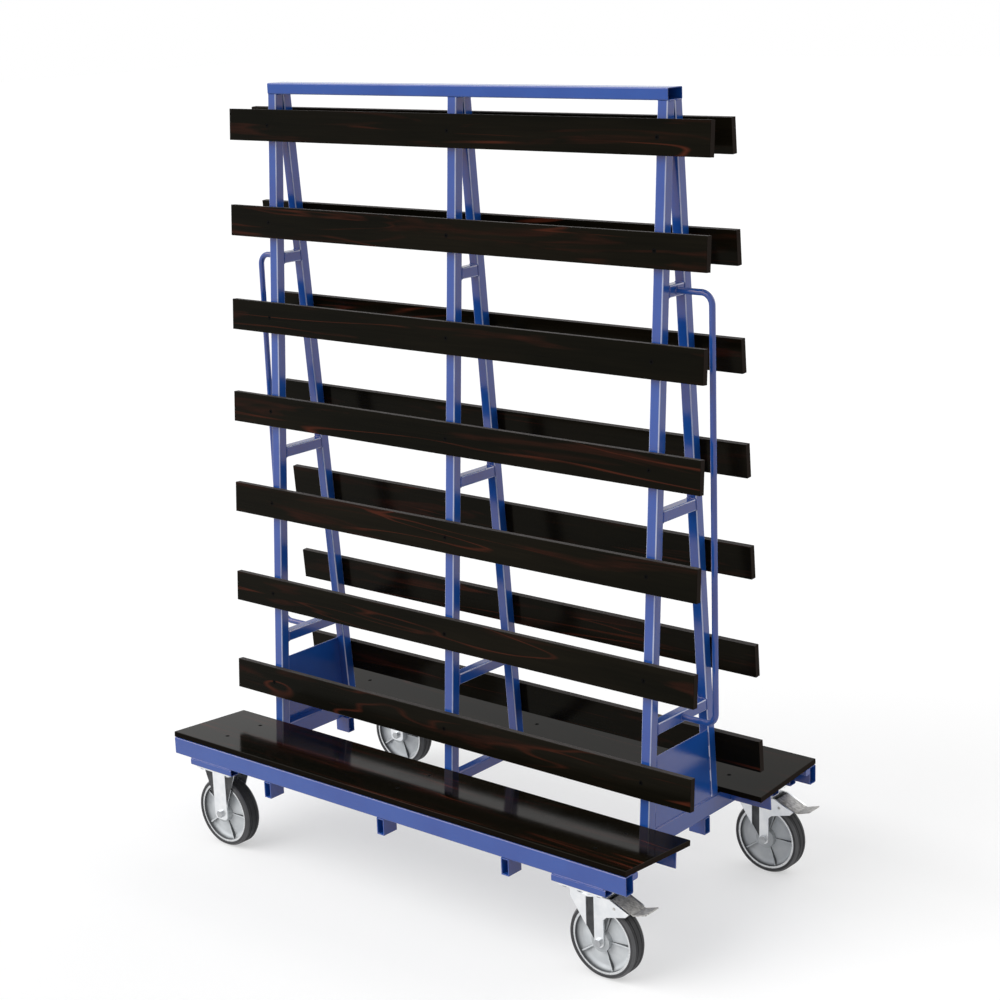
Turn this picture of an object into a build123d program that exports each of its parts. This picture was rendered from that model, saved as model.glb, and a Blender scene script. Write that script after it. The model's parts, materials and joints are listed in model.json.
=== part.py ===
from math import cos, radians, sin, tan
import os

from build123d import *

os.makedirs("parts", exist_ok=True)

# Overall sizes of the cart
rail_length = 1600
cart_depth = 862
cart_height = 2125
lean_angle = 4.0

# Square and rectangular steel tubes
bar_end_inset = 130
bar_width = 60
bar_height = 30
upright_size = 30
rail_width = 30
rail_height = 50
member_width = 30
member_height = 50
ledge_width = 20
ledge_height = 17
ledge_corner = 5
tube_wall = 2
tube_corner = 4
tube_inner_corner = 1.5

# A-frames and rungs
upright_gap = 1
upper_rung_height = 1645
middle_rung_height = 1095
lower_rung_height = 553

# End panels
panel_height = 193
panel_thickness = 3
panel_recess = 2

# Push handles of round bar
handle_diameter = 16
handle_stand_off = 100
handle_bend = 30

# Slats
slat_count = 7
slat_overhang = 5
slat_height = 86
slat_thickness = 18
slat_pitch = 265
first_slat_drop = 41
board_edge = 1

# Decks and the angles that carry their inner edges
deck_width = 270
deck_thickness = 15
angle_inset = 185
angle_leaf = 40
angle_drop = 45
angle_thickness = 4
angle_end_inset = 5
angle_notch_clearance = 1

# Countersunk screws of the boards
screw_diameter = 6
screw_head_diameter = 12
screw_head_angle = 90
screw_socket_diameter = 4
screw_socket_depth = 2
slat_screw_length = 32
deck_screw_length = 42
deck_screw_outer_inset = 71
deck_screw_inner_inset = 199

# Lashing eyes
eye_width = 25
eye_height = 46
eye_depth = 50
eye_wall = 3
rail_eye_spacing = 425
end_eye_offset = 105

# Castors
castor_height = 240
castor_inset = 60
pad_length = 165
pad_width = 30
plate_length = 135
plate_width = 110
plate_thickness = 5
bolt_pitch_x = 105
bolt_pitch_y = 80
bolt_diameter = 10
bolt_head_across = 16
bolt_head_height = 6.4
bolt_grip = 12
wheel_diameter = 200
wheel_width = 50
tyre_thickness = 12
tyre_shoulder_width = 8
tyre_shoulder_drop = 5
tyre_groove_offset = 8
tyre_groove_width = 2.5
tyre_groove_depth = 1.5
hub_boss_diameter = 54
hub_boss_length = 56
hub_web = 8
hub_web_root = 26
hub_rim_thickness = 6
hub_rim_width = 46
hub_fillet = 12
hub_rib_count = 5
hub_rib_thickness = 4
hub_rib_width = 32
hub_rib_start = 90
axle_diameter = 12
axle_head_across = 19
axle_head_height = 8
leg_thickness = 5
leg_end_radius = 14
fixed_leg_width = 50
fixed_leg_drop = 18
fixed_leg_corner = 14
web_thickness = 2.5
fixed_web_width = 128
fixed_web_rise = 32

# Swivel head and brake of the swivel castors
swivel_trail = 40
race_diameter = 76
race_height = 12
crown_diameter = 84
crown_thickness = 5
crown_reach = 62
kingpin_diameter = 14
kingpin_head_diameter = 24
kingpin_head_height = 5
cheek_back = 46
strut_width = 48
strut_depth = 20
cheek_top_reach = 74
cheek_reach = 132
cheek_depth = 50
cheek_rise = 16
cheek_nose = 10
pedal_pivot_reach = 88
pedal_pivot_drop = 38
pedal_pin_diameter = 8
pedal_barrel_diameter = 14
pedal_width = 52
pedal_thickness = 3
pedal_heel_reach = 76
pedal_heel_drop = 20
pedal_dip_reach = 140
pedal_dip_drop = 44
pedal_tip_reach = 178
pedal_tip_drop = 32
pedal_bend = 8

# Clearances
seat_gap = 0.1
running_gap = 0.3
running_clearance = 0.05
pedal_clearance = 0.15
screw_clearance = 0.1

# Places that follow from the sizes above
slope = radians(lean_angle)
half_depth = cart_depth / 2
rail_inside = half_depth - rail_width
slat_length = rail_length + 2 * slat_overhang
bar_bottom = cart_height - bar_height
bar_length = rail_length - 2 * bar_end_inset
upright_x = bar_length / 2 - upright_size / 2
upright_places = {"left": -upright_x, "centre": 0, "right": upright_x}
upright_xs = list(upright_places.values())
upright_top_y = upright_gap / 2 + upright_size / cos(slope)
member_bottom = castor_height
member_top = member_bottom + member_height
angle_low_point = (angle_inset + angle_leaf) * sin(slope) + (angle_thickness + seat_gap) * cos(slope)
rail_top = member_top + seat_gap + angle_low_point
rail_bottom = rail_top - rail_height
pad_height = rail_bottom - castor_height
castor_x = upright_x
castor_y = half_depth - castor_inset
plate_top = castor_height - seat_gap
plate_bottom = plate_top - plate_thickness
axle_height = wheel_diameter / 2
leg_inside = hub_boss_length / 2 + running_gap
leg_outside = leg_inside + leg_thickness
pedal_pivot_height = castor_height - pedal_pivot_drop
pedal_heel_height = castor_height - pedal_heel_drop
pedal_dip_height = castor_height - pedal_dip_drop
pedal_tip_height = castor_height - pedal_tip_drop

# The leaning face of the front uprights, with local y up the slope, and its mirror image at the rear
front_face = Plane((0, -upright_top_y, bar_bottom), x_dir=(1, 0, 0), z_dir=(0, -cos(slope), sin(slope)))
rear_face = Plane((0, upright_top_y, bar_bottom), x_dir=(1, 0, 0), z_dir=(0, cos(slope), sin(slope)))
inside_front = front_face.offset(-upright_size - seat_gap)
inside_rear = rear_face.offset(-upright_size - seat_gap)
slat_skin = front_face.offset(seat_gap + slat_thickness)
slat_centres = [-first_slat_drop - slat_height / 2 - i * slat_pitch for i in range(slat_count)]

# The underside of the front deck, with local y pointing inwards down its slope
deck_seat = Plane((0, -rail_inside, rail_top), x_dir=(1, 0, 0), z_dir=(0, sin(slope), cos(slope)))
deck_outer_edge = -rail_width / cos(slope)
deck_skin = deck_seat.offset(deck_thickness)
rear_deck_seat = Plane((0, rail_inside, rail_top), x_dir=(1, 0, 0), z_dir=(0, -sin(slope), cos(slope)))
rear_deck_skin = rear_deck_seat.offset(deck_thickness)
deck_screw_rows = [deck_outer_edge + deck_screw_outer_inset, deck_outer_edge + deck_screw_inner_inset]
slat_screw_spots = [(x, u) for x in upright_xs for u in slat_centres]
deck_screw_spots = [(x, v) for x in upright_xs for v in deck_screw_rows]


def save(piece, name):
    piece.part.label = name
    export_step(piece.part, f"parts/{name}.step")


def save_mirrored(piece, name, about):
    with BuildPart() as other:
        mirror(piece.part, about=about)
    save(other, name)


def tube_profile(width, height, wall=tube_wall):
    RectangleRounded(width, height, tube_corner)
    RectangleRounded(width - 2 * wall, height - 2 * wall, tube_inner_corner, mode=Mode.SUBTRACT)


def drill(plane, spots, diameter, depth):
    with BuildSketch(plane) as holes:
        with Locations(*spots):
            Circle(diameter / 2)
    extrude(holes.sketch, amount=-depth, mode=Mode.SUBTRACT)


def countersink(plane, spots, depth):
    shank_radius = screw_diameter / 2 + screw_clearance
    head_radius = screw_head_diameter / 2 + screw_clearance
    with Locations(*[plane.location * Pos(x, y) for x, y in spots]):
        CounterSinkHole(shank_radius, head_radius, depth, screw_head_angle)


def inside_width(height):
    outer = upright_top_y + (bar_bottom - height) * tan(slope)
    return 2 * (outer - upright_size / cos(slope) - seat_gap)


# Top bar
with BuildPart() as top_bar:
    with BuildSketch(Plane.YZ):
        with Locations((0, cart_height - bar_height / 2)):
            tube_profile(bar_width, bar_height)
    extrude(amount=bar_length / 2, both=True)
save(top_bar, "top_bar")

# Uprights, with a tapped hole behind every slat
upright_length = (bar_bottom - member_top) / cos(slope) + upright_size
for place, x in upright_places.items():
    foot = Plane((x, -upright_top_y, bar_bottom), x_dir=(1, 0, 0), z_dir=(0, sin(slope), cos(slope)))
    with BuildPart() as upright:
        with BuildSketch(foot.offset(upright_size)):
            with Locations((0, upright_size / 2)):
                tube_profile(upright_size, upright_size)
        extrude(amount=-upright_length - upright_size)
        split(bisect_by=Plane.XY.offset(bar_bottom - seat_gap), keep=Keep.BOTTOM)
        split(bisect_by=Plane.XY.offset(member_top + seat_gap), keep=Keep.TOP)
        drill(front_face, [(x, u) for u in slat_centres], screw_diameter + 2 * screw_clearance, 2 * tube_wall)
    save(upright, f"{place}_front_upright")
    save_mirrored(upright, f"{place}_rear_upright", Plane.XZ)

# Rungs, cut to the lean of the uprights
rung_heights = {"upper": upper_rung_height, "middle": middle_rung_height, "lower": lower_rung_height}
for level, height in rung_heights.items():
    with BuildPart() as rungs:
        with BuildSketch(Plane((0, 0, height), x_dir=(1, 0, 0), z_dir=(0, 1, 0))):
            with Locations(*[(x, 0) for x in upright_xs]):
                tube_profile(upright_size, upright_size)
        extrude(amount=inside_width(height), both=True)
        split(bisect_by=inside_front, keep=Keep.BOTTOM)
        split(bisect_by=inside_rear, keep=Keep.BOTTOM)
    save(rungs, f"{level}_rungs")

# Cross members from rail to rail, drilled for the deck screws, with a shallower one at the centre
member_half_length = rail_inside - seat_gap
member_lows = {"left": member_bottom, "centre": rail_bottom, "right": member_bottom}
for place, x in upright_places.items():
    with BuildPart() as member:
        height = member_top - member_lows[place]
        member_hole_depth = deck_screw_length + height / 2
        centre = (x, 0, member_top - height / 2)
        with BuildSketch(Plane(centre, x_dir=(1, 0, 0), z_dir=(0, 1, 0))):
            tube_profile(member_width, height)
        extrude(amount=member_half_length, both=True)
        front_spots = [(x, v) for v in deck_screw_rows]
        rear_spots = [(x, -v) for v in deck_screw_rows]
        drill(deck_skin, front_spots, screw_diameter + 2 * screw_clearance, member_hole_depth)
        drill(rear_deck_skin, rear_spots, screw_diameter + 2 * screw_clearance, member_hole_depth)
    save(member, f"{place}_cross_member")

# End panels between the feet of the uprights
panel_low = member_top + seat_gap
panel_high = panel_low + panel_height
panel_inside = bar_length / 2 - panel_recess - panel_thickness
with BuildPart() as right_end_panel:
    with BuildSketch(Plane((panel_inside, 0, 0), x_dir=(0, 1, 0), z_dir=(1, 0, 0))):
        low = inside_width(panel_low) / 2
        high = inside_width(panel_high) / 2
        Polygon((-low, panel_low), (low, panel_low), (high, panel_high), (-high, panel_high), align=None)
    extrude(amount=panel_thickness)
save(right_end_panel, "right_end_panel")
save_mirrored(right_end_panel, "left_end_panel", Plane.YZ)

# Rails, each with a ledge inside that carries the deck over the cross members
ledge_top = rail_top - ledge_width * tan(slope) - seat_gap
with BuildPart() as front_rail:
    with BuildSketch(Plane.YZ):
        with Locations((-half_depth + rail_width / 2, rail_bottom + rail_height / 2)):
            tube_profile(rail_width, rail_height)
    extrude(amount=rail_length / 2, both=True)
    with BuildSketch(Plane.YZ) as ledge_section:
        with Locations((-rail_inside - tube_wall, ledge_top)):
            Rectangle(ledge_width + tube_wall, ledge_height, align=(Align.MIN, Align.MAX))
        fillet(ledge_section.vertices().group_by(Axis.X)[-1], ledge_corner)
    extrude(amount=rail_length / 2, both=True)
save(front_rail, "front_rail")
save_mirrored(front_rail, "rear_rail", Plane.XZ)

# Deck angles, notched over the cross members
angle_section = Plane(deck_seat.origin, x_dir=deck_seat.y_dir, z_dir=(1, 0, 0))
notch_depth = angle_drop - angle_thickness
with BuildPart() as front_deck_angle:
    with BuildSketch(angle_section):
        with Locations((angle_inset, -seat_gap)):
            Rectangle(angle_leaf, angle_thickness, align=(Align.MIN, Align.MAX))
            Rectangle(angle_thickness, angle_drop, align=(Align.MIN, Align.MAX))
    extrude(amount=rail_length / 2 - angle_end_inset, both=True)
    with BuildSketch(deck_seat.offset(-seat_gap - angle_thickness)):
        with Locations(*[(x, angle_inset + angle_thickness / 2) for x in upright_xs]):
            Rectangle(member_width + 2 * angle_notch_clearance, 2 * angle_thickness)
    extrude(amount=-notch_depth, mode=Mode.SUBTRACT)
save(front_deck_angle, "front_deck_angle")
save_mirrored(front_deck_angle, "rear_deck_angle", Plane.XZ)

# Decks
with BuildPart() as front_deck:
    with BuildSketch(deck_seat):
        with Locations((0, deck_outer_edge + deck_width / 2)):
            Rectangle(rail_length, deck_width)
    extrude(amount=deck_thickness)
    chamfer(front_deck.faces().sort_by(deck_skin.location.z_axis)[-1].edges(), board_edge)
    countersink(deck_skin, deck_screw_spots, deck_thickness)
save(front_deck, "front_deck")
save_mirrored(front_deck, "rear_deck", Plane.XZ)

# Slats
for number, u in enumerate(slat_centres, start=1):
    with BuildPart() as slat:
        with BuildSketch(front_face.offset(seat_gap)):
            with Locations((0, u)):
                Rectangle(slat_length, slat_height)
        extrude(amount=slat_thickness)
        chamfer(slat.faces().sort_by(slat_skin.location.z_axis)[-1].edges(), board_edge)
        countersink(slat_skin, [(x, u) for x in upright_xs], slat_thickness)
    save(slat, f"front_slat_{number}")
    save_mirrored(slat, f"rear_slat_{number}", Plane.XZ)


def screws(plane, spots, length):
    head_height = (screw_head_diameter - screw_diameter) / 2 / tan(radians(screw_head_angle / 2))
    top = (Align.CENTER, Align.CENTER, Align.MAX)
    with Locations(*[plane.location * Pos(x, y) for x, y in spots]):
        Cone(screw_diameter / 2, screw_head_diameter / 2, head_height, align=top)
        Cylinder(screw_diameter / 2, length, align=top)
        Cylinder(screw_socket_diameter / 2, screw_socket_depth, align=top, mode=Mode.SUBTRACT)


# Countersunk screws of the slats and decks
with BuildPart() as board_screws:
    screws(slat_skin, slat_screw_spots, slat_screw_length)
    screws(deck_skin, deck_screw_spots, deck_screw_length)
    mirror(about=Plane.XZ)
save(board_screws, "board_screws")

# Push handles between the upper and the lower rung of each end frame
handle_root = bar_length / 2 + seat_gap
handle_bar = bar_length / 2 + handle_stand_off
with BuildPart() as right_handle:
    with BuildLine(Plane.XZ) as handle_path:
        Polyline(
            (handle_root, upper_rung_height),
            (handle_bar, upper_rung_height),
            (handle_bar, lower_rung_height),
            (handle_root, lower_rung_height),
        )
        fillet(handle_path.vertices().group_by(Axis.X)[-1], handle_bend)
    with BuildSketch(Plane.YZ.offset(handle_root)):
        with Locations((0, upper_rung_height)):
            Circle(handle_diameter / 2)
    sweep()
save(right_handle, "right_handle")
save_mirrored(right_handle, "left_handle", Plane.YZ)


def eye(plane, depth):
    with BuildSketch(plane) as ring:
        Rectangle(eye_width, eye_height)
        Rectangle(eye_width - 2 * eye_wall, eye_height - 2 * eye_wall, mode=Mode.SUBTRACT)
    extrude(ring.sketch, amount=depth)


# Lashing eyes under the rails and under the end cross members
with BuildPart() as lashing_eyes:
    for x in (-rail_eye_spacing, 0, rail_eye_spacing):
        centre = (x, -half_depth, rail_bottom - seat_gap - eye_height / 2)
        eye(Plane(centre, x_dir=(1, 0, 0), z_dir=(0, 1, 0)), eye_depth)
    for side in (-1, 1):
        outer_x = side * (upright_x + member_width / 2)
        centre = (outer_x, -end_eye_offset, member_bottom - seat_gap - eye_height / 2)
        eye(Plane(centre, x_dir=(0, 1, 0), z_dir=(-side, 0, 0)), eye_depth)
    mirror(about=Plane.XZ)
save(lashing_eyes, "lashing_eyes")

# Castor pads: one under the rail and two beside the end cross member at each corner
pad_bolt_y = castor_y - bolt_pitch_y / 2
inner_pad_low = castor_x - pad_length / 2
inner_pad_high = castor_x + pad_length / 2
member_low = upright_x - member_width / 2 - seat_gap
member_high = upright_x + member_width / 2 + seat_gap
pad_clear_height = pad_height - seat_gap
bolt_spots = [
    (side_x * castor_x + step_x * bolt_pitch_x / 2, side_y * castor_y + step_y * bolt_pitch_y / 2)
    for side_x in (-1, 1)
    for side_y in (-1, 1)
    for step_x in (-1, 1)
    for step_y in (-1, 1)
]
pad_runs = [
    (half_depth - rail_width / 2, inner_pad_low, inner_pad_high),
    (pad_bolt_y, inner_pad_low, member_low),
    (pad_bolt_y, member_high, inner_pad_high),
]
with BuildPart() as castor_pads:
    for y, low, high in pad_runs:
        with BuildSketch(Plane.YZ.offset(low)):
            with Locations((-y, castor_height + pad_clear_height / 2)):
                tube_profile(pad_width, pad_clear_height)
        extrude(amount=high - low)
    mirror(about=Plane.XZ)
    mirror(about=Plane.YZ)
    pad_hole_start = Plane.XY.offset(castor_height + 2 * tube_wall)
    drill(pad_hole_start, bolt_spots, bolt_diameter + 2 * screw_clearance, 3 * tube_wall)
save(castor_pads, "castor_pads")

# Castor bolts, with their heads under the castor plates
with BuildPart() as castor_bolts:
    with BuildSketch(Plane.XY.offset(plate_bottom - seat_gap)):
        with Locations(*bolt_spots):
            RegularPolygon(bolt_head_across / 2, 6, major_radius=False)
    extrude(amount=-bolt_head_height)
    with BuildSketch(Plane.XY.offset(plate_bottom - seat_gap)):
        with Locations(*bolt_spots):
            Circle(bolt_diameter / 2)
    extrude(amount=plate_thickness + bolt_grip)
save(castor_bolts, "castor_bolts")


def castor_plate(x, y):
    with BuildSketch(Plane((x, y, plate_bottom))) as outline:
        RectangleRounded(plate_length, plate_width, tube_corner)
        with GridLocations(bolt_pitch_x, bolt_pitch_y, 2, 2):
            Circle(bolt_diameter / 2 + screw_clearance, mode=Mode.SUBTRACT)
    extrude(outline.sketch, amount=plate_thickness)


def side_plane(x, y):
    return Plane((x, y, 0), x_dir=(1, 0, 0), z_dir=(0, -1, 0))


def leg_planes(x, y):
    return [side_plane(x, y - leg_inside), side_plane(x, y + leg_outside)]


def web_planes(x, y):
    return [side_plane(x, y - leg_inside), side_plane(x, y + leg_inside + web_thickness)]


def axle_hole():
    Circle(axle_diameter / 2 + running_clearance, mode=Mode.SUBTRACT)


def fixed_fork(x, y):
    with BuildPart() as fork:
        castor_plate(x, y)
        for plane in leg_planes(x, y):
            with BuildSketch(plane) as leg:
                with Locations((0, plate_bottom)):
                    leg_length = plate_bottom - axle_height + fixed_leg_drop
                    Rectangle(fixed_leg_width, leg_length, align=(Align.CENTER, Align.MAX))
                fillet(leg.vertices().group_by(Axis.Y)[0], fixed_leg_corner)
                with Locations((0, axle_height)):
                    axle_hole()
            extrude(amount=leg_thickness)
        for plane in web_planes(x, y):
            with BuildSketch(plane):
                half_top = fixed_web_width / 2
                half_low = fixed_leg_width / 2
                web_low = axle_height + fixed_web_rise
                Polygon(
                    (-half_top, plate_bottom),
                    (-half_low, web_low),
                    (half_low, web_low),
                    (half_top, plate_bottom),
                    align=None,
                )
            extrude(amount=web_thickness)
    return fork


def swivel_plate(x, y):
    race_bottom = plate_bottom - race_height
    pin_end = race_bottom - crown_thickness - 2 * running_gap - kingpin_head_height
    with BuildPart() as plate:
        castor_plate(x, y)
        with BuildSketch(Plane((x, y, plate_bottom))):
            Circle(race_diameter / 2)
        extrude(amount=-race_height)
        with BuildSketch(Plane((x, y, pin_end))):
            Circle(kingpin_diameter / 2)
        extrude(amount=race_bottom - pin_end)
        with BuildSketch(Plane((x, y, pin_end))):
            Circle(kingpin_head_diameter / 2)
        extrude(amount=kingpin_head_height)
    return plate


def swivel_fork(x, y):
    crown_top = plate_bottom - race_height - running_gap
    crown_bottom = crown_top - crown_thickness
    cheek_bottom = crown_top - cheek_depth
    leg_back = swivel_trail - leg_end_radius
    leg_front = swivel_trail + leg_end_radius
    strut_foot = crown_top - strut_depth
    strut_share = strut_width / (cheek_back + leg_back)
    strut_point = strut_foot - strut_share * (strut_foot - axle_height)
    with BuildPart() as fork:
        with BuildSketch(Plane((x, y, crown_bottom))):
            Circle(crown_diameter / 2)
            with Locations((crown_reach / 2, 0)):
                Rectangle(crown_reach, 2 * leg_outside)
            Circle(kingpin_diameter / 2 + running_clearance, mode=Mode.SUBTRACT)
        extrude(amount=crown_thickness)
        for plane in leg_planes(x, y):
            with BuildSketch(plane):
                Polygon(
                    (leg_back, crown_top),
                    (cheek_top_reach, crown_top),
                    (cheek_reach, cheek_bottom + cheek_rise + cheek_nose),
                    (cheek_reach - cheek_nose, cheek_bottom + cheek_rise),
                    (leg_front + cheek_nose, cheek_bottom),
                    (leg_front, cheek_bottom - cheek_nose),
                    (leg_front, axle_height),
                    (leg_back, axle_height),
                    align=None,
                )
                Polygon(
                    (-cheek_back, crown_top),
                    (strut_width - cheek_back, crown_top),
                    (strut_width - cheek_back, strut_point),
                    (-cheek_back, strut_foot),
                    align=None,
                )
                with Locations((swivel_trail, axle_height)):
                    Circle(leg_end_radius)
                    axle_hole()
                with Locations((pedal_pivot_reach, pedal_pivot_height)):
                    Circle(pedal_pin_diameter / 2 + pedal_clearance, mode=Mode.SUBTRACT)
            extrude(amount=leg_thickness)
        for plane in web_planes(x, y):
            with BuildSketch(plane):
                Polygon(
                    (-cheek_back, crown_top),
                    (swivel_trail, crown_top),
                    (swivel_trail, axle_height),
                    (leg_back, axle_height),
                    (-cheek_back, strut_foot),
                    align=None,
                )
                with Locations((swivel_trail, axle_height)):
                    axle_hole()
            extrude(amount=web_thickness)
    return fork


def wheel_plane(x, y):
    return Plane((x, y, axle_height), x_dir=(0, 1, 0), z_dir=(1, 0, 0))


def hub(x, y):
    rim_outer = wheel_diameter / 2 - tyre_thickness
    rim_inner = rim_outer - hub_rim_thickness
    boss = hub_boss_diameter / 2
    bore = axle_diameter / 2 + running_clearance
    with BuildPart() as piece:
        with BuildSketch(wheel_plane(x, y)) as profile:
            with Locations((0, bore)):
                Rectangle(hub_boss_length, boss - bore, align=(Align.CENTER, Align.MIN))
            Polygon(
                (-hub_web_root / 2, bore),
                (hub_web_root / 2, bore),
                (hub_web_root / 2, boss),
                (hub_web / 2, rim_inner),
                (hub_web / 2, rim_outer),
                (-hub_web / 2, rim_outer),
                (-hub_web / 2, rim_inner),
                (-hub_web_root / 2, boss),
                align=None,
            )
            with Locations((0, rim_inner)):
                Rectangle(hub_rim_width, hub_rim_thickness, align=(Align.CENTER, Align.MIN))
            web_ends = [(-hub_web / 2, rim_inner, 0), (hub_web / 2, rim_inner, 0)]
            fillet([profile.vertices().sort_by_distance(spot)[0] for spot in web_ends], hub_fillet)
        revolve(axis=Axis((x, y, axle_height), (0, 1, 0)))
        with BuildSketch(Plane((x, y, axle_height), x_dir=(0, 0, 1), z_dir=(0, 1, 0))):
            with PolarLocations((boss + rim_inner) / 2, hub_rib_count, hub_rib_start):
                Rectangle(rim_inner - boss + hub_rib_thickness, hub_rib_thickness)
        extrude(amount=hub_rib_width / 2, both=True)
    return piece


def tyre(x, y):
    outer = wheel_diameter / 2
    inner = outer - tyre_thickness + seat_gap
    side = wheel_width / 2
    tread = side - tyre_shoulder_width
    shoulder = outer - tyre_shoulder_drop
    groove_spots = [(-tyre_groove_offset, outer), (tyre_groove_offset, outer)]
    with BuildPart() as piece:
        with BuildSketch(wheel_plane(x, y)):
            Polygon(
                (-side, inner),
                (side, inner),
                (side, shoulder),
                (tread, outer),
                (-tread, outer),
                (-side, shoulder),
                align=None,
            )
            with Locations(*groove_spots):
                Rectangle(tyre_groove_width, 2 * tyre_groove_depth, mode=Mode.SUBTRACT)
        revolve(axis=Axis((x, y, axle_height), (0, 1, 0)))
    return piece


def axle_solid(x, y):
    head = Plane((x, y - leg_outside - seat_gap, axle_height), x_dir=(1, 0, 0), z_dir=(0, -1, 0))
    nut = Plane((x, y + leg_outside + seat_gap, axle_height), x_dir=(1, 0, 0), z_dir=(0, 1, 0))
    for plane in (head, nut):
        with BuildSketch(plane) as hexagon:
            RegularPolygon(axle_head_across / 2, 6, major_radius=False)
        extrude(hexagon.sketch, amount=axle_head_height)
    with BuildSketch(head) as shank:
        Circle(axle_diameter / 2)
    extrude(shank.sketch, amount=-2 * (leg_outside + seat_gap))


def brake_pedal(x, y):
    heel = (pedal_heel_reach, pedal_heel_height)
    dip = (pedal_dip_reach, pedal_dip_height)
    tip = (pedal_tip_reach, pedal_tip_height)
    pivot = (pedal_pivot_reach, pedal_pivot_height)
    barrel_length = 2 * (leg_inside - running_gap)
    with BuildPart() as pedal:
        with BuildSketch(side_plane(x, y)):
            with BuildLine() as pedal_line:
                Polyline(heel, dip, tip)
                fillet(pedal_line.vertices().sort_by(Axis.X)[1:-1], pedal_bend)
            trace(line_width=pedal_thickness)
        extrude(amount=pedal_width / 2, both=True)
        with BuildSketch(side_plane(x, y)):
            with Locations(pivot):
                Circle(pedal_barrel_diameter / 2)
                rise = pedal_heel_height - pedal_pivot_height - pedal_barrel_diameter / 2
                Rectangle(pedal_barrel_diameter / 2, rise + pedal_thickness, align=(Align.CENTER, Align.MIN))
        extrude(amount=barrel_length / 2, both=True)
        with BuildSketch(side_plane(x, y)):
            with Locations(pivot):
                Circle(pedal_pin_diameter / 2)
        extrude(amount=leg_outside, both=True)
    return pedal


# Wheels, forks and brakes at the four corners
corners = {
    "front_left": (-castor_x, -castor_y),
    "rear_left": (-castor_x, castor_y),
    "front_right": (castor_x, -castor_y),
    "rear_right": (castor_x, castor_y),
}
for corner, (x, y) in corners.items():
    if x < 0:
        wheel_x = x
        save(fixed_fork(x, y), f"{corner}_fork")
    else:
        wheel_x = x + swivel_trail
        save(swivel_plate(x, y), f"{corner}_swivel_plate")
        save(swivel_fork(x, y), f"{corner}_fork")
        save(brake_pedal(x, y), f"{corner}_brake_pedal")
        with BuildPart() as axle:
            axle_solid(wheel_x, y)
        save(axle, f"{corner}_axle")
    save(hub(wheel_x, y), f"{corner}_hub")
    save(tyre(wheel_x, y), f"{corner}_tyre")

with BuildPart() as fixed_axles:
    axle_solid(-castor_x, -castor_y)
    axle_solid(-castor_x, castor_y)
save(fixed_axles, "fixed_axles")
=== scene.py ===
import json
import math

import bmesh
import bpy
from mathutils import Matrix, Vector


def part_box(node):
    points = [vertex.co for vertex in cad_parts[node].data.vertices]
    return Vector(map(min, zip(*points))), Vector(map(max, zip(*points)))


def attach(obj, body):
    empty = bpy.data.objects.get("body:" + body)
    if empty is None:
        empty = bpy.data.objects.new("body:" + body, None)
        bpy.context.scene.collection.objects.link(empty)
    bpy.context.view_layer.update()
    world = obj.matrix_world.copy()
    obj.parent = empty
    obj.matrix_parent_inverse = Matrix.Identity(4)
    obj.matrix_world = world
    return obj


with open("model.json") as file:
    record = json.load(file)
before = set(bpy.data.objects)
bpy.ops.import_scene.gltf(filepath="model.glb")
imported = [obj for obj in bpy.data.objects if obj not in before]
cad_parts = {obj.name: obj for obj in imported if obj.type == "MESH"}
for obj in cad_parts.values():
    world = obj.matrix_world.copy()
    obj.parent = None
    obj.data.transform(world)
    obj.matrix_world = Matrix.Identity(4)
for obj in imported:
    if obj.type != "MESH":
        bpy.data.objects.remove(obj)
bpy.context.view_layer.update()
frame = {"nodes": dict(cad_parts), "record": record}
nodes = frame["nodes"]
slotOf = {piece["node"]: piece["material_slot"] for piece in frame["record"]["subparts"]}
print("frame loaded:", len(nodes), "nodes")


# Shader building blocks
def put(tree, kind, inputs=None, **settings):
    node = tree.nodes.new("ShaderNode" + kind)
    for key, value in settings.items():
        setattr(node, key, value)
    for key, value in (inputs or {}).items():
        if isinstance(value, bpy.types.NodeSocket):
            tree.links.new(value, node.inputs[key])
        else:
            node.inputs[key].default_value = value
    return node


def newMaterial(name, **sockets):
    material = bpy.data.materials.new(name)
    material.use_nodes = True
    tree = material.node_tree
    shader = tree.nodes["Principled BSDF"]
    for key, value in sockets.items():
        shader.inputs[key].default_value = value
    return material, tree, shader


def objectSpace(tree, scale=(1, 1, 1)):
    place = put(tree, "TexCoord").outputs["Object"]
    return put(tree, "Mapping", {"Vector": place, "Scale": scale}).outputs["Vector"]


def noise(tree, vector, scale, detail=3.0, roughness=0.55, distortion=0.0):
    return put(tree, "TexNoise", {"Vector": vector, "Scale": scale, "Detail": detail,
                                  "Roughness": roughness, "Distortion": distortion}).outputs["Fac"]


def ramp(tree, fac, stops):
    node = put(tree, "ValToRGB", {"Fac": fac})
    band = node.color_ramp.elements
    band[0].position, band[0].color = stops[0][0], (*stops[0][1], 1.0)
    band[1].position, band[1].color = stops[-1][0], (*stops[-1][1], 1.0)
    for position, color in stops[1:-1]:
        band.new(position).color = (*color, 1.0)
    return node.outputs["Color"]


def multiplied(tree, first, second):
    node = put(tree, "Mix", data_type="RGBA", blend_type="MULTIPLY")
    node.inputs["Factor"].default_value = 1.0
    tree.links.new(first, node.inputs["A"])
    tree.links.new(second, node.inputs["B"])
    return node.outputs["Result"]


def blendOver(tree, fac, under, color):
    node = put(tree, "Mix", data_type="RGBA")
    tree.links.new(fac, node.inputs["Factor"])
    tree.links.new(under, node.inputs["A"])
    node.inputs["B"].default_value = (*color, 1.0)
    return node.outputs["Result"]


def span(tree, fac, low, high):
    return put(tree, "MapRange", {"Value": fac, "To Min": low, "To Max": high}).outputs["Result"]


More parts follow.
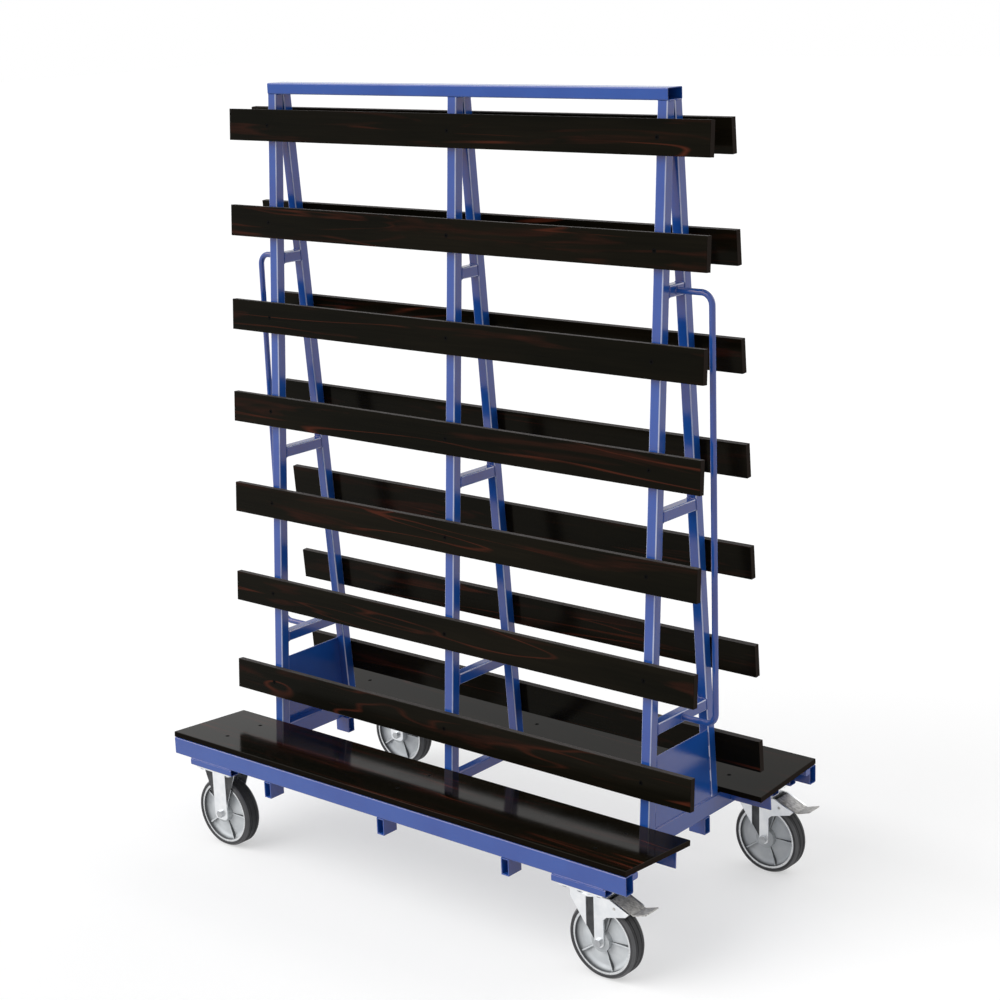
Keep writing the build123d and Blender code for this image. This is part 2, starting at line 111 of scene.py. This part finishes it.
def fade(tree, value, low, high):
    return put(tree, "MapRange", {"Value": value, "From Min": low, "From Max": high},
               interpolation_type="SMOOTHSTEP").outputs["Result"]


def math1(tree, kind, value):
    return put(tree, "Math", {0: value}, operation=kind).outputs[0]


def math2(tree, kind, first, second):
    return put(tree, "Math", {0: first, 1: second}, operation=kind).outputs[0]


def largest(tree, first, second, third):
    return math2(tree, "MAXIMUM", math2(tree, "MAXIMUM", first, second), third)


def opposite(tree, value):
    return math2(tree, "SUBTRACT", 1.0, value)


def folded(tree, vector):
    return put(tree, "VectorMath", {0: vector}, operation="ABSOLUTE").outputs["Vector"]


# How far a surface faces along one axis of its node
def facing(tree, axis):
    normal = put(tree, "TexCoord").outputs["Normal"]
    return put(tree, "SeparateXYZ", {"Vector": folded(tree, normal)}).outputs[axis]


def bump(tree, shader, height, strength, distance):
    node = put(tree, "Bump", {"Height": height, "Strength": strength, "Distance": distance})
    tree.links.new(node.outputs["Normal"], shader.inputs["Normal"])


def feed(tree, shader, color, roughness):
    tree.links.new(color, shader.inputs["Base Color"])
    tree.links.new(roughness, shader.inputs["Roughness"])


# Screen colour from 0 to 255, as the linear colour that a socket takes
def srgb(red, green, blue):
    shares = (red / 255, green / 255, blue / 255)
    return tuple(((c + 0.055) / 1.055) ** 2.4 if c > 0.04 else c / 12.92 for c in shares)


black = (0.0, 0.0, 0.0)
white = (1.0, 1.0, 1.0)

# Blue powder coat with orange peel, and a pale tone along the corners of the tubes that is painted highlight
# and partly edge wear
coat = {"dark": srgb(24, 76, 157), "light": srgb(33, 87, 168), "wearAndHighlightTone": srgb(212, 224, 252),
        "cloud": 5.0, "cloudSpread": (0.3, 0.7), "sheen": (1.0, 0.67, 0.44, 1.0),
        "corner": (0.86, 0.99), "wearAndHighlightPatches": 5.0, "wearAndHighlightSpread": (0.35, 0.55), "wearAndHighlightLeast": 0.6, "specular": 0.8,
        "haze": 45.0, "gloss": (0.11, 0.19), "peel": 900.0, "peelStrength": 0.10, "peelDepth": 0.0006}


def powderCoat(name, wearAndHighlight, specular=coat["specular"]):
    material, tree, shader = newMaterial(name, **{"Specular IOR Level": specular,
                                                  "Specular Tint": coat["sheen"]})
    place = objectSpace(tree)
    low, high = coat["cloudSpread"]
    cloud = noise(tree, place, coat["cloud"], detail=4.0)
    tone = ramp(tree, cloud, [(low, coat["dark"]), (high, coat["light"])])
    if wearAndHighlight:
        # painted highlight and edge wear: a pale tone on the rounded corners of the tubes, in uneven patches
        flatness = largest(tree, facing(tree, "X"), facing(tree, "Y"), facing(tree, "Z"))
        corner = opposite(tree, fade(tree, flatness, *coat["corner"]))
        unevenWearAndHighlight = fade(tree, noise(tree, place, coat["wearAndHighlightPatches"]), *coat["wearAndHighlightSpread"])
        wearAndHighlightShare = math2(tree, "MULTIPLY", span(tree, unevenWearAndHighlight, coat["wearAndHighlightLeast"], 1.0), wearAndHighlight)
        tone = blendOver(tree, math2(tree, "MULTIPLY", corner, wearAndHighlightShare), tone, coat["wearAndHighlightTone"])
    feed(tree, shader, tone, span(tree, noise(tree, place, coat["haze"]), *coat["gloss"]))
    peel = noise(tree, place, coat["peel"], detail=2.0)
    bump(tree, shader, peel, coat["peelStrength"], coat["peelDepth"])
    return material


blueCoat = powderCoat("blueCoat", wearAndHighlight=0.10)
# the uprights and rungs carry the strongest painted highlight on their corners
postCoat = powderCoat("postCoat", wearAndHighlight=0.9)
roundCoat = powderCoat("roundCoat", wearAndHighlight=0.0)
barCoat = powderCoat("barCoat", wearAndHighlight=0.10, specular=0.5)

# Film-faced board with reddish veins along its length
film = {"dark": srgb(9, 8, 4), "light": srgb(21, 17, 10), "vein": srgb(42, 20, 13), "line": srgb(74, 34, 22),
        "sheen": (1.0, 0.94, 0.77, 1.0), "ground": (1.3, 7.0, 7.0), "groundSpread": (0.35, 0.65),
        "veins": (1.7, 20.0, 20.0), "veinBand": (0.57, 0.69, 0.82),
        "lines": (0.6, 11.0, 11.0), "lineLevel": 0.52, "lineWidth": 0.012,
        "patches": (2.2, 5.0, 5.0), "patchSpread": (0.45, 0.60),
        "pores": (5.0, 160.0, 160.0), "poreSpread": (0.35, 0.65), "poreShade": (0.7, 0.7, 0.7),
        "poreStrength": 0.05, "poreDepth": 0.0003, "haze": 18.0, "glossRange": 0.07}


def filmBoard(name, gloss, specular):
    material, tree, shader = newMaterial(name, **{"Specular IOR Level": specular,
                                                  "Specular Tint": film["sheen"]})
    low, high = film["groundSpread"]
    clouds = noise(tree, objectSpace(tree, film["ground"]), 1.0)
    ground = ramp(tree, clouds, [(low, film["dark"]), (high, film["light"])])
    vein = noise(tree, objectSpace(tree, film["veins"]), 1.0, detail=4.0, distortion=1.0)
    start, crest, end = film["veinBand"]
    band = ramp(tree, vein, [(start, black), (crest, white), (end, black)])
    # Thin wavy lines where a slow noise crosses one level, in patches
    field = noise(tree, objectSpace(tree, film["lines"]), 1.0, detail=2.0, roughness=0.5, distortion=0.8)
    ridge = math1(tree, "ABSOLUTE", math2(tree, "SUBTRACT", field, film["lineLevel"]))
    line = ramp(tree, ridge, [(0.0, white), (film["lineWidth"], black)])
    low, high = film["patchSpread"]
    patch = ramp(tree, noise(tree, objectSpace(tree, film["patches"]), 1.0), [(low, black), (high, white)])
    tone = blendOver(tree, band, ground, film["vein"])
    tone = blendOver(tree, multiplied(tree, line, patch), tone, film["line"])
    pore = noise(tree, objectSpace(tree, film["pores"]), 1.0)
    low, high = film["poreSpread"]
    shade = ramp(tree, pore, [(low, film["poreShade"]), (high, white)])
    haze = noise(tree, objectSpace(tree), film["haze"])
    feed(tree, shader, multiplied(tree, tone, shade), span(tree, haze, gloss, gloss + film["glossRange"]))
    bump(tree, shader, pore, film["poreStrength"], film["poreDepth"])
    return material


slatFilm = filmBoard("slatFilm", gloss=0.11, specular=0.05)
deckFilm = filmBoard("deckFilm", gloss=0.06, specular=0.06)

# Sealed board edge with its layers showing faintly, darker at the ends of the board. The slat edges are
# toned lighter than the deck edges as painted reflection of the sky on their top edges
edge = {"slat": (srgb(46, 43, 42), srgb(86, 82, 80)), "deck": (srgb(8, 6, 3), srgb(20, 14, 8)),
        "toneSpread": (0.2, 0.8), "end": srgb(27, 18, 11), "endFacing": (0.7, 0.95), "endShare": 0.9,
        "layer": 0.0014, "layerRange": (0.3, 0.7), "drift": 0.003, "driftScale": 9.0,
        "grain": (20.0, 300.0, 300.0), "grainLift": 0.5, "gloss": (0.42, 0.56), "specular": 0.02,
        "strength": 0.12, "depth": 0.0004}
lean = math.radians(4.0)  # of the uprights, and so of the boards


def boardEdge(name, across, tones):
    material, tree, shader = newMaterial(name, **{"Specular IOR Level": edge["specular"]})
    place = put(tree, "TexCoord").outputs["Object"]
    mirrored = folded(tree, place)  # front and rear boards alike
    depth = put(tree, "VectorMath", {0: mirrored, 1: across}, operation="DOT_PRODUCT").outputs["Value"]
    drift = math2(tree, "MULTIPLY", noise(tree, place, edge["driftScale"]), edge["drift"])
    turn = math2(tree, "MULTIPLY", math2(tree, "ADD", depth, drift), math.pi / edge["layer"])
    layers = span(tree, math1(tree, "SINE", turn), *edge["layerRange"])
    grain = noise(tree, objectSpace(tree, edge["grain"]), 1.0)
    fac = math2(tree, "MULTIPLY", layers, math2(tree, "ADD", grain, edge["grainLift"]))
    low, high = edge["toneSpread"]
    tone = ramp(tree, fac, [(low, tones[0]), (high, tones[1])])
    atEnd = math2(tree, "MULTIPLY", fade(tree, facing(tree, "X"), *edge["endFacing"]), edge["endShare"])
    feed(tree, shader, blendOver(tree, atEnd, tone, edge["end"]), span(tree, grain, *edge["gloss"]))
    bump(tree, shader, fac, edge["strength"], edge["depth"])
    return material


slatEdge = boardEdge("slatEdge", (0, math.cos(lean), math.sin(lean)), edge["slat"])
deckEdge = boardEdge("deckEdge", (0, -math.sin(lean), math.cos(lean)), edge["deck"])

# Metals, screws and rubber: two tones, patch scale, roughness range, relief scale and strength, and for the
# hub a painted shade tone on its sides
recipes = {
    "brightZinc": {"tones": ((224, 227, 230), (241, 242, 243)), "scale": 34.0, "gloss": (0.24, 0.36),
                   "relief": (520.0, 0.05), "metal": 1.0},
    "boltZinc": {"tones": ((158, 160, 163), (186, 188, 190)), "scale": 50.0, "gloss": (0.26, 0.38),
                 "relief": (520.0, 0.05), "metal": 0.9},
    "paintedShadeZinc": {"tones": ((52, 53, 55), (78, 79, 81)), "scale": 40.0, "gloss": (0.34, 0.46),
                  "relief": (520.0, 0.05), "metal": 0.7},
    "hubAlloy": {"tones": ((206, 210, 213), (220, 223, 225)), "scale": 28.0, "gloss": (0.62, 0.74),
                 "relief": (900.0, 0.10), "metal": 0.1, "specular": 0.25, "shadeTone": (92, 94, 96)},
    "bossAlloy": {"tones": ((170, 174, 177), (188, 191, 193)), "scale": 28.0, "gloss": (0.34, 0.48),
                  "relief": (900.0, 0.10), "metal": 0.25},
    "rimLip": {"tones": ((206, 208, 210), (224, 225, 226)), "scale": 60.0, "gloss": (0.22, 0.32),
               "relief": (700.0, 0.04), "metal": 0.9},
    "pedalSteel": {"tones": ((138, 136, 133), (208, 206, 202)), "scale": 110.0, "gloss": (0.32, 0.46),
                   "relief": (420.0, 0.14), "metal": 0.3, "stretch": (1, 1.5, 1)},
    "darkScrew": {"tones": ((4, 4, 4), (9, 8, 8)), "scale": 220.0, "gloss": (0.6, 0.75),
                  "relief": (900.0, 0.08), "specular": 0.04},
    "rubberTread": {"tones": ((44, 44, 46), (60, 60, 62)), "scale": 26.0, "gloss": (0.55, 0.72),
                    "relief": (1100.0, 0.16), "specular": 0.3},
    "rubberSide": {"tones": ((52, 52, 54), (64, 64, 66)), "scale": 26.0, "gloss": (0.48, 0.62),
                   "relief": (1100.0, 0.12), "specular": 0.35},
    "rubberBand": {"tones": ((84, 84, 86), (98, 98, 100)), "scale": 26.0, "gloss": (0.42, 0.56),
                   "relief": (1100.0, 0.10), "specular": 0.4},
}
grainShape = {"toneSpread": (0.32, 0.68), "shadeFacing": (0.05, 0.985), "glossScale": 3, "depth": 0.0005}


def grainy(name, tones, scale, gloss, relief, metal=0.0, specular=0.5, stretch=(1, 1, 1), shadeTone=None):
    material, tree, shader = newMaterial(name, Metallic=metal, **{"Specular IOR Level": specular})
    place = objectSpace(tree)
    low, high = grainShape["toneSpread"]
    patch = noise(tree, objectSpace(tree, stretch), scale, detail=4.0)
    tone = ramp(tree, patch, [(low, srgb(*tones[0])), (high, srgb(*tones[1]))])
    if shadeTone:
        shaded = opposite(tree, fade(tree, facing(tree, "Y"), *grainShape["shadeFacing"]))
        tone = blendOver(tree, shaded, tone, srgb(*shadeTone))  # painted shade: the sides of the casting that face across the wheel are darker
    feed(tree, shader, tone, span(tree, noise(tree, place, grainShape["glossScale"] * scale), *gloss))
    bump(tree, shader, noise(tree, place, relief[0]), relief[1], grainShape["depth"])
    return material


made = {name: grainy(name, **recipe) for name, recipe in recipes.items()}
print("materials ready")

# Finish of each node by the end of its name, or else by its slot in the record
finishes = {"blue_coat": blueCoat, "film_ply": slatFilm, "dark_screws": made["darkScrew"],
            "bright_zinc": made["brightZinc"], "pedal_steel": made["pedalSteel"],
            "hub_alloy": made["hubAlloy"], "tyre_rubber": made["rubberSide"]}
ownFinish = {"_deck": deckFilm, "_axle": made["boltZinc"], "_axles": made["boltZinc"],
             "_bolts": made["boltZinc"], "_upright": postCoat, "_rungs": postCoat, "_handle": roundCoat,
             "top_bar": barCoat}
for name, node in nodes.items():
    node.data.materials.clear()
    special = [finish for tail, finish in ownFinish.items() if name.endswith(tail)]
    node.data.materials.append(special[0] if special else finishes[slotOf[name]])


def paint(node, material, test):
    node.data.materials.append(material)
    for face in node.data.polygons:
        if test(face.center, face.normal):
            face.material_index = len(node.data.materials) - 1


def middle(name):
    low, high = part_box(name)
    return (low + high) / 2


def fromAxle(point, hub):
    return math.hypot(point.x - hub.x, point.z - hub.z)


# Boards have sealed edges, wheels a bright lip and three rubbers, forks their web in a darker zinc as
# painted shade
boards = {"edgeTilt": 0.5}
wheels = {"lip": 0.0818, "boss": 0.0275, "tread": 0.0975, "crown": 0.0982, "steep": 0.3, "flat": 0.9}
forks = {"web": 0.0308, "margin": 0.0004}
for name, node in nodes.items():
    if slotOf[name] == "film_ply":
        side = -1 if name.startswith("front") else 1
        isDeck = name.endswith("_deck")
        deckUp = (0, -side * math.sin(lean), math.cos(lean))
        slatOut = (0, side * math.cos(lean), math.sin(lean))
        across = Vector(deckUp if isDeck else slatOut)
        paint(node, deckEdge if isDeck else slatEdge, lambda c, n: abs(n.dot(across)) < boards["edgeTilt"])
    if name.endswith("_tyre"):
        hub = middle(name)
        paint(node, made["rubberTread"], lambda c, n: fromAxle(c, hub) > wheels["crown"]
              or fromAxle(c, hub) > wheels["tread"] and abs(n.y) < wheels["steep"])
        paint(node, made["rubberBand"], lambda c, n: wheels["steep"] < abs(n.y) < wheels["flat"])
    if name.endswith("_hub"):
        hub = middle(name)
        paint(node, made["rimLip"], lambda c, n: abs(n.y) > wheels["flat"]
              and fromAxle(c, hub) > wheels["lip"])
        paint(node, made["bossAlloy"], lambda c, n: fromAxle(c, hub) < wheels["boss"])
    if name.endswith("_fork"):
        hub = middle(name.replace("_fork", "_tyre"))
        # painted shade: the recessed web of each fork leg in a dark zinc
        paint(node, made["paintedShadeZinc"], lambda c, n: abs(n.y) > wheels["flat"]
              and abs(abs(c.y - hub.y) - forks["web"]) < forks["margin"])
print("finishes assigned")

# Rounded edges on the cut steel and the wheels
rounding = {"tails": ("_fork", "_brake_pedal", "_swivel_plate", "_end_panel", "_hub", "_tyre", "_deck_angle",
                      "lashing_eyes"),
            "width": 0.0006, "segments": 2, "sharp": math.radians(38),
            "even": math.radians(0.5), "join": 0.00001}


def soften(node):
    join = node.modifiers.new("weld", "WELD")
    join.merge_threshold = rounding["join"]
    flat = node.modifiers.new("flat", "DECIMATE")  # whole flat faces, so that no sliver shows
    flat.decimate_type = "DISSOLVE"
    flat.angle_limit = rounding["even"]
    flat.delimit = {"MATERIAL"}
    bevel = node.modifiers.new("bevel", "BEVEL")
    bevel.width = rounding["width"]
    bevel.segments = rounding["segments"]
    bevel.limit_method = "ANGLE"
    bevel.angle_limit = rounding["sharp"]
    smooth = node.modifiers.new("smooth", "WEIGHTED_NORMAL")
    smooth.keep_sharp = False


for name, node in nodes.items():
    if name.endswith(rounding["tails"]):
        soften(node)
print("edges rounded")

# Weld beads, half sunk into the corners they fill
weld = {"pitch": 0.0042, "step": 0.0014, "ripple": 0.16, "sides": 7, "tip": 0.45, "growth": 0.2,
        "steep": 0.9}


def resample(path, closed):
    points = [Vector(p) for p in path]
    if closed:
        points.append(points[0])
    out = []
    for start, end in zip(points, points[1:]):
        count = max(1, round((end - start).length / weld["step"]))
        out += [start.lerp(end, i / count) for i in range(count)]
    return out if closed else out + [points[-1]]


def addBead(mesh, path, radius, closed=False):
    points = resample(path, closed)
    turns = [2 * math.pi * k / weld["sides"] for k in range(weld["sides"])]
    rings = []
    run = 0.0
    for i, point in enumerate(points):
        before = points[i - 1] if closed or i else points[0]
        after = points[(i + 1) % len(points)] if closed or i + 1 < len(points) else points[-1]
        along = (after - before).normalized()
        if abs(along.z) > weld["steep"]:
            across = along.orthogonal().normalized()
        else:
            across = along.cross(Vector((0, 0, 1))).normalized()
        third = along.cross(across)
        run += weld["step"]
        swell = radius * (1 + weld["ripple"] * abs(math.sin(math.pi * run / weld["pitch"])))
        fromEnd = min(i, len(points) - 1 - i)
        swell *= 1 if closed else min(1, weld["tip"] + weld["growth"] * fromEnd)  # thin at both ends
        rings.append([mesh.verts.new(point + swell * (across * math.cos(a) + third * math.sin(a)))
                      for a in turns])
    pairs = list(zip(rings, rings[1:])) + ([(rings[-1], rings[0])] if closed else [])
    for first, second in pairs:
        for k in range(weld["sides"]):
            j = (k + 1) % weld["sides"]
            mesh.faces.new((first[k], first[j], second[j], second[k]))
    if not closed:
        mesh.faces.new(rings[0])
        mesh.faces.new(list(reversed(rings[-1])))


def addWelds(name, beads):
    mesh = bmesh.new()
    for bead in beads:
        addBead(mesh, *bead)
    bmesh.ops.recalc_face_normals(mesh, faces=mesh.faces)
    data = bpy.data.meshes.new(name)
    mesh.to_mesh(data)
    mesh.free()
    data.shade_smooth()
    data.materials.append(roundCoat)
    piece = bpy.data.objects.new(name, data)
    bpy.context.scene.collection.objects.link(piece)
    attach(piece, "frame")


posts = {"xs": (-0.655, 0.0, 0.655), "half": 0.015, "wide": 0.03, "apart": 0.0005, "face": 0.670,
         "top": 2.095, "foot": 0.290, "rungs": (1.645, 1.095, 0.553)}
half = posts["half"]
ends = (-1, 1)
legs = [(x, s) for x in posts["xs"] for s in ends]
corners = [(t, s) for t in ends for s in ends]


def innerFace(z):
    return posts["apart"] + (posts["top"] - z) * math.tan(lean)


def outerFace(z):
    return innerFace(z) + posts["wide"] / math.cos(lean)


topBead = {"radius": 0.0017, "ys": (0.002, 0.028)}
addWelds("topWelds", [([(x + e * half, s * y, posts["top"]) for y in topBead["ys"]], topBead["radius"])
                      for x, s in legs for e in ends])

footBead = {"radius": 0.0026, "reach": 0.012}
addWelds("footWelds", [([(x + e * footBead["reach"], s * face(posts["foot"]), posts["foot"]) for e in ends],
                        footBead["radius"]) for x, s in legs for face in (innerFace, outerFace)])

rungBead = {"radius": 0.0021, "corner": 0.0035}
near = half - rungBead["corner"]
rim = [(-near, -half), (near, -half), (half, -near), (half, near),
       (near, half), (-near, half), (-half, near), (-half, -near)]
addWelds("rungWelds", [([(x + a, s * innerFace(z + b), z + b) for a, b in rim], rungBead["radius"], True)
                       for x, s in legs for z in posts["rungs"]])

handleBead = {"radius": 0.0019, "ring": 0.0084, "lift": 0.0004, "points": 24}
circle = [2 * math.pi * i / handleBead["points"] for i in range(handleBead["points"])]
ring = [(handleBead["ring"] * math.cos(a), handleBead["ring"] * math.sin(a)) for a in circle]
addWelds("handleWelds", [([(e * (posts["face"] + handleBead["lift"]), y, z + up) for y, up in ring],
                          handleBead["radius"], True)
                         for e in ends for z in (posts["rungs"][0], posts["rungs"][2])])

panelBead = {"radius": 0.0019, "x": 0.668, "starts": (0.296, 0.366, 0.436), "length": 0.04,
             "footReach": 0.122, "footHeight": 0.2902}
panelSides = [([(e * panelBead["x"], s * innerFace(z), z) for z in (low, low + panelBead["length"])],
               panelBead["radius"]) for e, s in corners for low in panelBead["starts"]]
panelFeet = [([(e * panelBead["x"], s * panelBead["footReach"], panelBead["footHeight"]) for s in ends],
              panelBead["radius"]) for e in ends]
addWelds("panelWelds", panelSides + panelFeet)

memberBead = {"radius": 0.0022, "y": 0.401, "zs": (0.264, 0.287)}
addWelds("memberWelds", [([(x + e * half, s * memberBead["y"], z) for z in memberBead["zs"]],
                          memberBead["radius"]) for x, s in legs for e in ends])

eyeBead = {"radius": 0.0019, "half": 0.0125, "railXs": (-0.425, 0.0, 0.425), "railYs": (0.404, 0.428),
           "railHeight": 0.2599, "memberXs": (0.643, 0.667), "memberY": 0.105, "memberHeight": 0.24}
railEyes = [([(x + e * eyeBead["half"], s * y, eyeBead["railHeight"]) for y in eyeBead["railYs"]],
             eyeBead["radius"]) for x in eyeBead["railXs"] for s in ends for e in ends]
memberEyes = [([(t * x, s * eyeBead["memberY"] + e * eyeBead["half"], eyeBead["memberHeight"])
                for x in eyeBead["memberXs"]], eyeBead["radius"]) for t, s in corners for e in ends]
addWelds("eyeWelds", railEyes + memberEyes)

padBead = {"radius": 0.0024, "x": 0.655, "reach": 0.079, "ys": (0.4288, 0.4032), "height": 0.2598}
addWelds("padWelds", [([(t * padBead["x"] + e * padBead["reach"], s * y, padBead["height"]) for e in ends],
                       padBead["radius"]) for t, s in corners for y in padBead["ys"]])
print("weld beads laid")


# What the camera sees directly or through gloss and glass
def seenRays(tree):
    rays = put(tree, "LightPath").outputs
    return largest(tree, rays["Is Camera Ray"], rays["Is Glossy Ray"], rays["Is Transmission Ray"])


# Floor that is white where it is lit and keeps the shadow
ground = {"reach": 40.0, "color": (0.52, 0.52, 0.52, 1.0), "roughness": 0.9, "lift": 0.48}
reach = ground["reach"]
floorCorners = [(-reach, -reach, 0), (reach, -reach, 0), (reach, reach, 0), (-reach, reach, 0)]
floorMesh = bpy.data.meshes.new("floor")
floorMesh.from_pydata(floorCorners, [], [(0, 1, 2, 3)])
floor = bpy.data.objects.new("floor", floorMesh)
bpy.context.scene.collection.objects.link(floor)
floorPaint, tree, shader = newMaterial("floorPaint", Roughness=ground["roughness"],
                                       **{"Base Color": ground["color"], "Specular IOR Level": 0.0,
                                          "Emission Color": (*white, 1.0)})
tree.links.new(math2(tree, "MULTIPLY", seenRays(tree), ground["lift"]), shader.inputs["Emission Strength"])
floorMesh.materials.append(floorPaint)

# White world where it is seen, softer as a light, with a key sun and a fill sun
studio = {"ambient": 0.54, "distance": 8.0,
          "key": {"power": 2.2, "angle": 60.0, "from": (-0.45, -0.62, 0.64)},
          "fill": {"power": 0.9, "angle": 70.0, "from": (0.25, 0.82, 0.5)}}
world = bpy.data.worlds.new("studio")
bpy.context.scene.world = world
world.use_nodes = True
tree = world.node_tree
sky = tree.nodes["Background"].inputs
sky["Color"].default_value = (*white, 1.0)
tree.links.new(span(tree, seenRays(tree), studio["ambient"], 1.0), sky["Strength"])
for name in ("key", "fill"):
    lamp = bpy.data.lights.new(name, "SUN")
    lamp.energy = studio[name]["power"]
    lamp.angle = math.radians(studio[name]["angle"])
    holder = bpy.data.objects.new(name, lamp)
    holder.location = Vector(studio[name]["from"]) * studio["distance"]
    holder.rotation_euler = (-holder.location).to_track_quat("-Z", "Y").to_euler()
    bpy.context.scene.collection.objects.link(holder)

# Camera at the photograph's place
view = {"place": (3.4506, -3.9758, 2.4099), "forward": (-0.62456, 0.73843, -0.25424),
        "up": (-0.13651, 0.2173, 0.96651), "lens": 72.92, "sensor": 36.0}
forward = Vector(view["forward"]).normalized()
right = forward.cross(Vector(view["up"])).normalized()
axes = Matrix((right, right.cross(forward), -forward)).transposed().to_4x4()
camera = bpy.data.objects.new("camera", bpy.data.cameras.new("camera"))
camera.data.lens = view["lens"]
camera.data.sensor_width = view["sensor"]
camera.matrix_world = Matrix.Translation(Vector(view["place"])) @ axes
bpy.context.scene.collection.objects.link(camera)
bpy.context.scene.camera = camera
bpy.context.scene.view_settings.view_transform = "Standard"
print("camera and light set")
